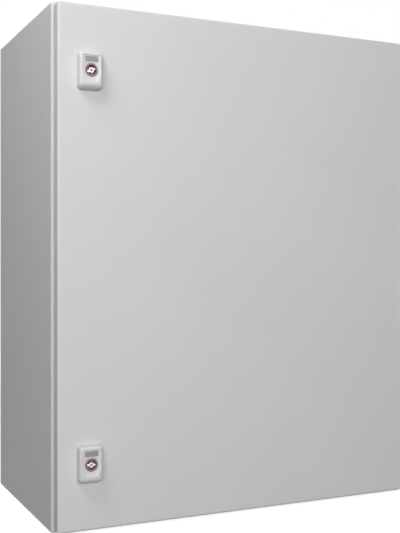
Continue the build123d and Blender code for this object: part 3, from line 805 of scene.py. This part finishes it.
def dress_copies(pattern, node_name, spots, body, turn=0, metal=steel, foot=None):
    """Dresses a CAD node with a copy of a pattern at each spot, turned about X by degrees.

    A spot is two numbers across the way that the copy points; the foot is where it stands.
    """
    low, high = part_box(node_name)
    if foot is None:
        foot = {0: low.y, 90: low.z, 180: high.y}[turn]
    for count, (x, other) in enumerate(spots, 1):
        name = f"{node_name}_{count}"
        copy = bpy.data.objects.new(name, pattern.data.copy())
        copy.data.name = name
        bpy.context.scene.collection.objects.link(copy)
        deselect()
        copy.select_set(True)
        bpy.context.view_layer.objects.active = copy
        copy.location = (x, other, foot) if turn == 90 else (x, foot, other)
        copy.rotation_euler = (math.radians(turn), 0, 0)
        bpy.ops.object.transform_apply(location=True, rotation=True, scale=True)
        finish_piece(copy, *metal, body, node_name, angle=25)


def use_up(pattern, *rows):
    """Dresses a CAD node for each row of node name, spots, body, turn, and removes the pattern."""
    for row in rows:
        dress_copies(pattern, *row)
    bpy.data.objects.remove(pattern)


print("copying helpers ready")

# %% [markdown]
# ## Where the small parts sit
# The CAD model has one node for all the studs of a kind, so the spots are worked out from the box
# of that node: a grid that fills it, its middle, or a pair at each hinge. They could be typed in as
# numbers, but numbers from the box follow the CAD model when it changes.

# %% Spots
stud_collar, gland_collar = 7, 3.4  # mm
leaf_stud_radius, screw_rise = 2 * mm, 8 * mm


def between(low, high, radius, count):
    """The middles of round things of a radius that stand evenly from one end to the other."""
    first, last = low + radius, high - radius
    return [first + (last - first) * step / (count - 1) for step in range(count)]


def grid_of(node_name, radius, columns, rows, axis):
    """The spots of round things in a grid that fills a node's box along X and one more axis."""
    low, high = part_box(node_name)
    return [
        (x, other)
        for x in between(low.x, high.x, radius, columns)
        for other in between(low[axis], high[axis], radius, rows)
    ]


def middle_of_node(node_name):
    """The middle of a CAD node's box."""
    low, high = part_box(node_name)
    return (low + high) / 2


def pairs_at_hinges(node_name, rise):
    """The spots of two things at each hinge, below and above its middle."""
    x = middle_of_node(node_name).x
    return [(x, height + side * rise) for height in hinge_heights for side in (-1, 1)]


mounting_spots = grid_of("mounting_studs", stud_collar * mm, 2, 2, axis=2)
gland_spots = grid_of("gland_studs", gland_collar * mm, 3, 2, axis=1)
base_earth, door_earth = middle_of_node("body_earth_stud"), middle_of_node("door_earth_stud")
base_spots, door_spots = [(base_earth.x, base_earth.y)], [(door_earth.x, door_earth.z)]
hinge_heights = [middle_of_node(f"{word}_hinge_bracket").z for word in ("upper", "lower")]
leaf_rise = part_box("hinge_leaf_studs")[1].z - leaf_stud_radius - hinge_heights[0]
leaf_spots = pairs_at_hinges("hinge_leaf_studs", leaf_rise)
screw_spots = pairs_at_hinges("hinge_bracket_screws", screw_rise)
print(len(mounting_spots), len(gland_spots), len(leaf_spots), len(screw_spots), "spots")

# %% [markdown]
# ## Threaded studs
# A stud is a turned rod with a weld collar and a rolled thread. Its outline goes in and out once
# per turn of the thread, so the lathe leaves rings. A true screw line would climb, which no one
# sees at this size, and rings close neatly at both ends. Sizes from here on are in millimetres.

# %% Threaded studs
thread_form = ((0.08, False), (0.46, True), (0.58, True), (0.96, False))  # pitches, at a crest
tip = 0.8  # how long the blunt end is


def thread(radius, pitch, start, end):
    """Points (radius, depth) of a thread that ends in a blunt tip."""
    root = radius - 0.61 * pitch
    way = 1 if end > start else -1
    points = [(root, start)]
    for turn in range(int((abs(end - start) - tip) / pitch)):
        for share, crest in thread_form:
            points.append((radius if crest else root, start + way * (turn + share) * pitch))
    return points + [(root, end - way * tip / 2), (root - 0.15 * radius, end)]


def stud(name, radius, pitch, collar, length):
    """A stud that stands on the origin, on the collar that its weld leaves."""
    foot = [(0, 0), (collar, 0), (collar, 0.9), (collar * 0.86, 1.5)]
    return lathe(name, foot + thread(radius, pitch, 1.5, length) + [(0, length)])


def length_of(node_name, axis):
    """How long a CAD node's box is along an axis."""
    low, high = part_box(node_name)
    return (high - low)[axis] / mm


for size, row in (
    ((4, 1.25, stud_collar), ("mounting_studs", mounting_spots, "enclosure", 180)),
    ((3, 1, gland_collar), ("gland_studs", gland_spots, "enclosure", 90)),
    ((4, 1.25, stud_collar), ("body_earth_stud", base_spots, "enclosure", 90)),
    ((4, 1.25, stud_collar), ("door_earth_stud", door_spots, "door", 0)),
    ((2, 0.7, leaf_stud_radius / mm), ("hinge_leaf_studs", leaf_spots, "door", 0)),
):
    node_name, turn = row[0], row[-1]
    length = length_of(node_name, 2 if turn == 90 else 1)
    use_up(stud(f"{node_name}_pattern", *size, length), row)

# %% [markdown]
# ## Nuts
# A hexagon nut is cut from hexagon bar and turned at both ends, which leaves curved edges where the
# cone meets the flats. Those curves come from an intersection of a hexagon with a double cone; a
# plain bevel would leave straight ones. The bore is countersunk by a second turning.

# %% Nuts
def hexagon(name, across, height, bore=0):
    """A nut that stands on the origin, or a screw's hexagon head where it has no bore."""
    corner = across / math.sqrt(3)
    nut = begin(
        "cylinder", name, (0, height / 2 * mm, 0),
        vertices=6, radius=corner * mm, depth=height * mm, rotation=along_y,
    )
    slope = math.tan(math.radians(30))
    out, ends = corner + 1, 0.47 * across
    fall = (out - ends) * slope
    cone = [(0, -ends * slope), (out, fall), (out, height - fall), (0, height + ends * slope)]
    carve(nut, lathe("cone_tool", cone, 36), "INTERSECT")
    if bore:
        flare = bore + 1.4
        hole = [
            (0, -1), (flare, -1), (bore, 0.4), (bore, height - 0.4), (flare, height + 1),
            (0, height + 1),
        ]
        carve(nut, lathe("hole_tool", hole, 36))
    return nut


use_up(
    hexagon("nut_13", 13, 6.5, 4.05),
    ("plate_nuts", mounting_spots, "enclosure", 180),
    ("body_earth_nut", base_spots, "enclosure", 90),
    ("door_earth_nut", door_spots, "door"),
)
use_up(hexagon("nut_10", 10, 5, 3.05), ("gland_nuts", gland_spots, "enclosure", 90))
use_up(hexagon("nut_7", 7, 3.2, 2.05), ("hinge_leaf_nuts", leaf_spots, "door"))

cast = (cast_zinc, "die_cast_zinc")
lock_nut_rows = [
    (f"{word}_lock_nut", [(lock_x, height)], "door", 0, cast)
    for word, height in lock_heights.items()
]
use_up(hexagon("nut_26", 26, 6, 9.85), *lock_nut_rows)

# %% [markdown]
# ## Washers
# Stamped washers have one soft edge from the punch. The outline of the ring gets small slopes at
# its corners, the largest where the punch came through, and goes round the lathe.

# %% Washers
def washer(name, radius, thickness, bore):
    """A washer that lies on the origin."""
    soft = 0.15 * thickness
    outline = [
        (bore, soft / 2), (bore + soft / 2, 0), (radius - soft, 0), (radius, soft),
        (radius, thickness - soft / 2), (radius - soft / 2, thickness),
        (bore + soft / 2, thickness), (bore, thickness - soft / 2), (bore, soft / 2),
    ]
    return lathe(name, outline, 40)


use_up(
    washer("washer_18", 9, 1.6, 4.8),
    ("plate_washers", mounting_spots, "enclosure", 180),
    ("body_earth_washer", base_spots, "enclosure", 90),
    ("door_earth_washer", door_spots, "door"),
)

# %% [markdown]
# ## Screws and pins
# The screws of the hinge brackets have low round heads with a hexagon socket. The screws of the
# cams have plain hexagon heads. The hinge pins are turned, with a flat round head that stops them
# from falling through.

# %% Screws of the hinge brackets
def screw_shank(radius, pitch, length):
    """The outline of a screw's shank, from its tip up to the head at depth 0."""
    return [(0, -length)] + thread(radius, pitch, 0, -length)[::-1] + [(radius, 0)]


head_height, socket_radius, socket_depth = 3, 1.75, 3.4
head = [(4.6, 0), (4.6, 2.1), (4.4, 2.6), (3.9, 2.92), (3.4, head_height), (0, head_height)]
shank = screw_shank(2.5, 0.8, length_of("hinge_bracket_screws", 1) - head_height)
pattern = lathe("bracket_screw", shank + head, 32)
socket = begin(
    "cylinder", "socket_tool", (0, head_height * mm, 0),
    vertices=6, radius=socket_radius * mm, depth=socket_depth * mm, rotation=along_y,
)
bpy.ops.object.mode_set(mode="OBJECT")
carve(pattern, socket)
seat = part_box("hinge_bracket_screws")[1].y - head_height * mm
use_up(pattern, ("hinge_bracket_screws", screw_spots, "enclosure", 0, steel, seat))

# %% Screws and washers of the cams
head_height = 4
screw = hexagon("cam_screw", 10, head_height)
shank = screw_shank(3, 1, length_of("upper_cam_screw", 1) - head_height)
carve(screw, lathe("shank_tool", shank + [(3, 0.5), (0, 0.5)]), "UNION")
ring = washer("cam_washer", 8, 1.5, 3.2)
for word, height in lock_heights.items():
    spots, body = [(lock_x, height)], f"{word}_lock"
    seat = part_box(f"{word}_cam_screw")[1].y - head_height * mm
    dress_copies(screw, f"{word}_cam_screw", spots, body, foot=seat)
    dress_copies(ring, f"{word}_cam_washer", spots, body)
bpy.data.objects.remove(screw)
bpy.data.objects.remove(ring)

# %% Hinge pins
tall = length_of("upper_hinge_pin", 2)
pin_outline = [
    (0, 0), (2.1, 0), (2.5, 0.5), (2.5, tall - 1.2), (3.35, tall - 1.2), (3.6, tall - 1),
    (3.6, tall - 0.5), (3.2, tall - 0.1), (2.8, tall), (0, tall),
]
pin_rows = []
for node_name in ("upper_hinge_pin", "lower_hinge_pin"):
    spot = middle_of_node(node_name)
    pin_rows.append((node_name, [(spot.x, spot.y)], "door", 90, (pin_steel, "bright_pin_steel")))
use_up(lathe("hinge_pin", pin_outline, 32), *pin_rows)
